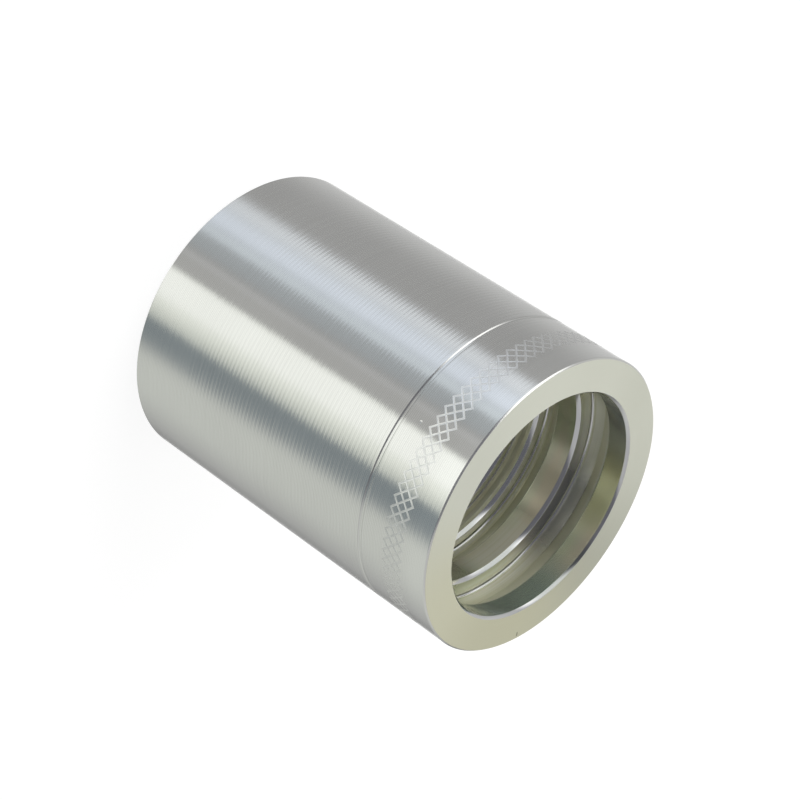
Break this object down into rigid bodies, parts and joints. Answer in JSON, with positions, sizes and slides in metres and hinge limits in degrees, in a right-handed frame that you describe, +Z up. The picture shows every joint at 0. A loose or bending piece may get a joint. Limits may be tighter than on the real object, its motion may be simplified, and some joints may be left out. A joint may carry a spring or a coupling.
{
  "type": "crimp hose ferrule",
  "caption": "Turned steel crimp ferrule for hydraulic hose: a thick plain sleeve with a gripping ridged bore, a scribed ring, a diamond knurl band and a locking collar.",
  "frame": {"origin": "centre of the fitting-end face, on which the ferrule stands", "axes": "+Z up along the axis, toward the hose end"},
  "size_m": [0.044, 0.044, 0.057],
  "materials": {
    "plated_steel": "zinc-plated turned steel with fine feed marks outside, a flat pale face and an olive tint in the bore"
  },
  "bodies": {
    "root": {"ferrule_shell": "plated_steel"}
  },
  "joints": []
}
